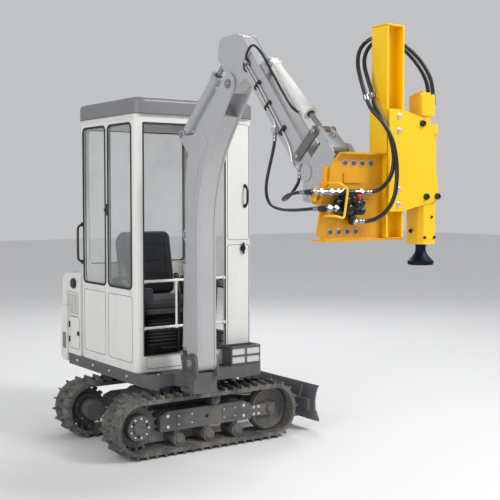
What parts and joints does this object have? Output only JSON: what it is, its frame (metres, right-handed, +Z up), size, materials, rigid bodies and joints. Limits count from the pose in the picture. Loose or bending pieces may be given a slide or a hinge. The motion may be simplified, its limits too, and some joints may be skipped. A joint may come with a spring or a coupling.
{
  "type": "post driver on a tracked mini excavator",
  "caption": "Tracked mini excavator with a cab, carrying a yellow hydraulic post driver with a sliding hammer on a mast at the end of its arm.",
  "frame": {"origin": "on the ground under the slewing axis", "axes": "+X forward, the way the cab faces, +Y to the operator's left, +Z up"},
  "size_m": [3.2185, 1.6359, 2.652],
  "materials": {
    "track_rubber": "matte",
    "chassis_paint": "satin",
    "body_paint": "satin",
    "roof_paint": "satin",
    "boom_paint": "satin",
    "driver_yellow": "satin",
    "chrome": "polished",
    "steel": "satin",
    "cast": "matte",
    "glass": "clear",
    "seat_cloth": "matte",
    "console_plastic": "matte",
    "hose_rubber": "satin",
    "valve_black": "gloss",
    "pad_plastic": "matte"
  },
  "bodies": {
    "chassis": {"track_right": "track_rubber", "track_left": "track_rubber", "undercarriage": "chassis_paint", "sprockets": "cast", "idlers": "cast", "rollers": "cast", "slew_ring": "steel"},
    "blade": {"blade": "chassis_paint"},
    "blade_barrel": {"blade_cylinder_barrel": "chassis_paint"},
    "blade_rod": {"blade_cylinder_rod": "chrome"},
    "house": {"platform": "chassis_paint", "counterweight": "body_paint", "engine_hood": "body_paint", "engine": "cast", "cab_frame": "body_paint", "cab_roof": "roof_paint", "cab_glass": "glass", "seat": "seat_cloth", "consoles": "console_plastic", "travel_levers": "steel", "front_guard": "roof_paint", "step_box": "body_paint"},
    "door": {"door": "body_paint", "door_glass": "glass"},
    "swing_post": {"swing_post": "chassis_paint"},
    "boom": {"boom": "boom_paint"},
    "boom_barrel": {"boom_cylinder_barrel": "boom_paint"},
    "boom_rod": {"boom_cylinder_rod": "chrome"},
    "arm_barrel": {"arm_cylinder_barrel": "boom_paint"},
    "arm_rod": {"arm_cylinder_rod": "chrome"},
    "stick": {"stick": "boom_paint"},
    "tilt_barrel": {"tilt_cylinder_barrel": "boom_paint"},
    "tilt_rod": {"tilt_cylinder_rod": "chrome"},
    "rocker": {"rocker": "boom_paint"},
    "link": {"link": "boom_paint"},
    "driver": {"quick_hitch": "boom_paint", "tool_ears": "driver_yellow", "bracket": "driver_yellow", "mast": "driver_yellow", "valve_block": "valve_black", "valve_guard": "driver_yellow", "driver_hose_a": "hose_rubber", "driver_hose_b": "hose_rubber", "supply_hose_a": "hose_rubber", "supply_hose_b": "hose_rubber"},
    "carriage": {"carriage_plates": "driver_yellow", "slide_pads": "pad_plastic", "hammer_housing": "driver_yellow", "hammer_tube": "steel", "hammer_head": "driver_yellow", "driving_cap": "cast"}
  },
  "joints": [
    {"name": "slew", "type": "hinge", "parent": "chassis", "child": "house", "pos_m": [0, 0, 0.45], "axis": [0, 0, 1], "continuous": true},
    {"name": "blade_lift", "type": "hinge", "parent": "chassis", "child": "blade", "pos_m": [0, 0.43, 0.235], "axis": [1, 0, 0], "range_deg": [-15, 22]},
    {"name": "blade_barrel_tilt", "type": "hinge", "parent": "chassis", "child": "blade_barrel", "pos_m": [0, 0.3, 0.315], "axis": [1, 0, 0], "range_deg": [-12, 17]},
    {"name": "blade_rod_slide", "type": "slide", "parent": "blade_barrel", "child": "blade_rod", "axis": [0, 0.9942, -0.1071], "range_m": [-0.03, 0.021]},
    {"name": "door_hinge", "type": "hinge", "parent": "house", "child": "door", "pos_m": [-0.4, 0.516, 1.4], "axis": [0, 0, 1], "range_deg": [0, 150]},
    {"name": "boom_swing", "type": "hinge", "parent": "house", "child": "swing_post", "pos_m": [0.5, -0.15, 0.5], "axis": [0, 0, 1], "range_deg": [-50, 65]},
    {"name": "boom_lift", "type": "hinge", "parent": "swing_post", "child": "boom", "pos_m": [0.61, -0.15, 0.622], "axis": [0, 1, 0], "range_deg": [-3, 45]},
    {"name": "boom_barrel_tilt", "type": "hinge", "parent": "swing_post", "child": "boom_barrel", "pos_m": [0.432, -0.15, 0.655], "axis": [0, 1, 0], "range_deg": [-4, 45]},
    {"name": "boom_rod_slide", "type": "slide", "parent": "boom_barrel", "child": "boom_rod", "axis": [0.0382, 0, 0.9993], "range_m": [-0.012, 0.142]},
    {"name": "stick_swing", "type": "hinge", "parent": "boom", "child": "stick", "pos_m": [1.026, -0.15, 2.365], "axis": [0, -1, 0], "range_deg": [-45, 15]},
    {"name": "arm_barrel_tilt", "type": "hinge", "parent": "boom", "child": "arm_barrel", "pos_m": [0.424, -0.15, 2.092], "axis": [0, -1, 0], "range_deg": [-7, 3]},
    {"name": "arm_rod_slide", "type": "slide", "parent": "arm_barrel", "child": "arm_rod", "axis": [0.745, 0, 0.667], "range_m": [-0.048, 0.141]},
    {"name": "tool_tilt", "type": "hinge", "parent": "stick", "child": "driver", "pos_m": [1.802, -0.15, 1.82], "axis": [0, 1, 0], "range_deg": [-25, 25], "deforming": ["supply_hose_a", "supply_hose_b"]},
    {"name": "rocker_swing", "type": "hinge", "parent": "stick", "child": "rocker", "pos_m": [1.7, -0.15, 1.91], "axis": [0, 1, 0], "range_deg": [-26, 26]},
    {"name": "link_swing", "type": "hinge", "parent": "rocker", "child": "link", "pos_m": [1.85, -0.15, 2.04], "axis": [0, 1, 0], "range_deg": [-25, 25]},
    {"name": "tilt_barrel_tilt", "type": "hinge", "parent": "stick", "child": "tilt_barrel", "pos_m": [1.385, -0.15, 2.452], "axis": [0, 1, 0], "range_deg": [-2, 2]},
    {"name": "tilt_rod_slide", "type": "slide", "parent": "tilt_barrel", "child": "tilt_rod", "axis": [0.7485, 0, -0.6632], "range_m": [-0.086, 0.086]},
    {"name": "carriage_slide", "type": "slide", "parent": "driver", "child": "carriage", "axis": [0, 0, 1], "range_m": [-0.13, 0.4], "deforming": ["driver_hose_a", "driver_hose_b"]}
  ],
  "couplings": [
    {"joint": "blade_barrel_tilt", "follows": "blade_lift", "ratio": 0.7281},
    {"joint": "blade_rod_slide", "follows": "blade_lift", "m_per_rad": -0.07377},
    {"joint": "boom_barrel_tilt", "follows": "boom_lift", "ratio": 0.9703},
    {"joint": "boom_rod_slide", "follows": "boom_lift", "m_per_rad": 0.17599},
    {"joint": "arm_barrel_tilt", "follows": "stick_swing", "ratio": 0.1274},
    {"joint": "arm_rod_slide", "follows": "stick_swing", "m_per_rad": -0.17719},
    {"joint": "rocker_swing", "follows": "tool_tilt", "ratio": 0.991},
    {"joint": "link_swing", "follows": "tool_tilt", "ratio": -0.948},
    {"joint": "tilt_barrel_tilt", "follows": "tool_tilt", "ratio": 0.035},
    {"joint": "tilt_rod_slide", "follows": "tool_tilt", "m_per_rad": 0.19163}
  ]
}
